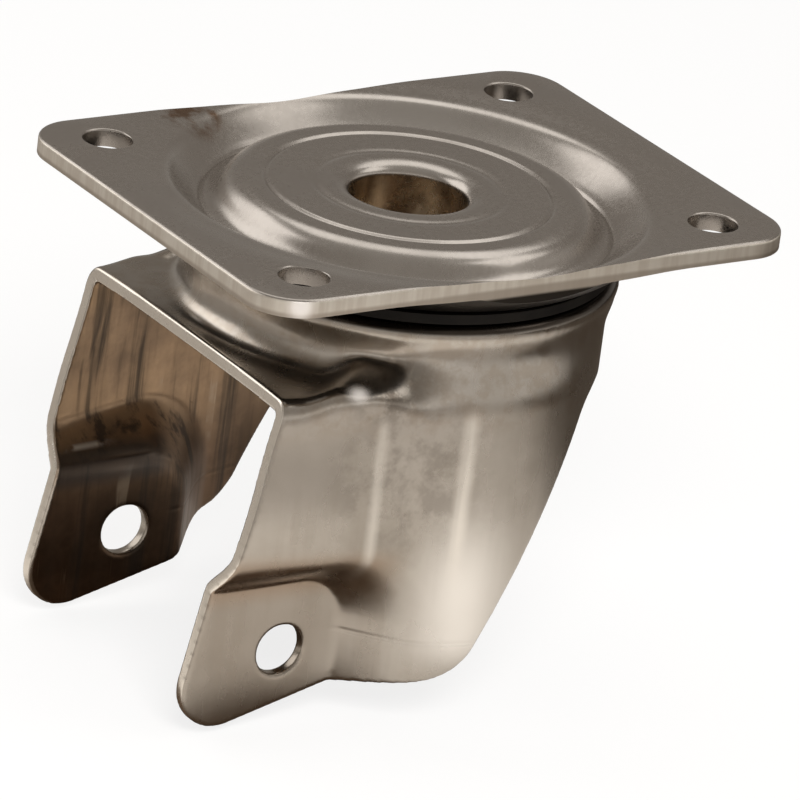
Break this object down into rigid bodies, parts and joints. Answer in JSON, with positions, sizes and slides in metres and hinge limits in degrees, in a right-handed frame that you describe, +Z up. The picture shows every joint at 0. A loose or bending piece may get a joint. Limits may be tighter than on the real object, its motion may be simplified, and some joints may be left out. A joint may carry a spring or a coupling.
{
  "type": "swivel caster fork",
  "caption": "Swivel caster of pressed steel without its wheel: a bolt-on plate with a round dish turns on hidden balls above a drawn fork whose ears have axle holes.",
  "frame": {"origin": "on the swivel axis at the top face of the plate", "axes": "+Z up out of the mounting face; X along the plate's long side, the axle trails towards -X; Y along the axle"},
  "size_m": [0.135, 0.105, 0.1067],
  "materials": {
    "plate_steel": "satin stainless",
    "fork_steel": "satin stainless, drawn",
    "retainer_steel": "satin stainless",
    "ball_steel": "polished",
    "dust_ring_rubber": "matt black"
  },
  "bodies": {
    "plate": {"top_plate": "plate_steel", "retainer": "retainer_steel"},
    "fork": {"fork": "fork_steel", "dust_ring": "dust_ring_rubber"},
    "upper_row": {"upper_ball_01": "ball_steel", "upper_ball_02": "ball_steel", "upper_ball_03": "ball_steel", "upper_ball_04": "ball_steel", "upper_ball_05": "ball_steel", "upper_ball_06": "ball_steel", "upper_ball_07": "ball_steel", "upper_ball_08": "ball_steel", "upper_ball_09": "ball_steel", "upper_ball_10": "ball_steel", "upper_ball_11": "ball_steel", "upper_ball_12": "ball_steel", "upper_ball_13": "ball_steel", "upper_ball_14": "ball_steel", "upper_ball_15": "ball_steel", "upper_ball_16": "ball_steel", "upper_ball_17": "ball_steel", "upper_ball_18": "ball_steel", "upper_ball_19": "ball_steel", "upper_ball_20": "ball_steel"},
    "lower_row": {"lower_ball_01": "ball_steel", "lower_ball_02": "ball_steel", "lower_ball_03": "ball_steel", "lower_ball_04": "ball_steel", "lower_ball_05": "ball_steel", "lower_ball_06": "ball_steel", "lower_ball_07": "ball_steel", "lower_ball_08": "ball_steel", "lower_ball_09": "ball_steel", "lower_ball_10": "ball_steel", "lower_ball_11": "ball_steel", "lower_ball_12": "ball_steel", "lower_ball_13": "ball_steel", "lower_ball_14": "ball_steel", "lower_ball_15": "ball_steel", "lower_ball_16": "ball_steel"}
  },
  "joints": [
    {"name": "swivel", "type": "hinge", "parent": "plate", "child": "fork", "pos_m": [0, 0, -0.0094], "axis": [0, 0, 1], "continuous": true},
    {"name": "upper_row_turn", "type": "hinge", "parent": "plate", "child": "upper_row", "pos_m": [0, 0, -0.0094], "axis": [0, 0, 1], "continuous": true},
    {"name": "lower_row_turn", "type": "hinge", "parent": "plate", "child": "lower_row", "pos_m": [0, 0, -0.018], "axis": [0, 0, 1], "continuous": true}
  ],
  "couplings": [
    {"joint": "upper_row_turn", "follows": "swivel", "ratio": 0.5},
    {"joint": "lower_row_turn", "follows": "swivel", "ratio": 0.5}
  ]
}
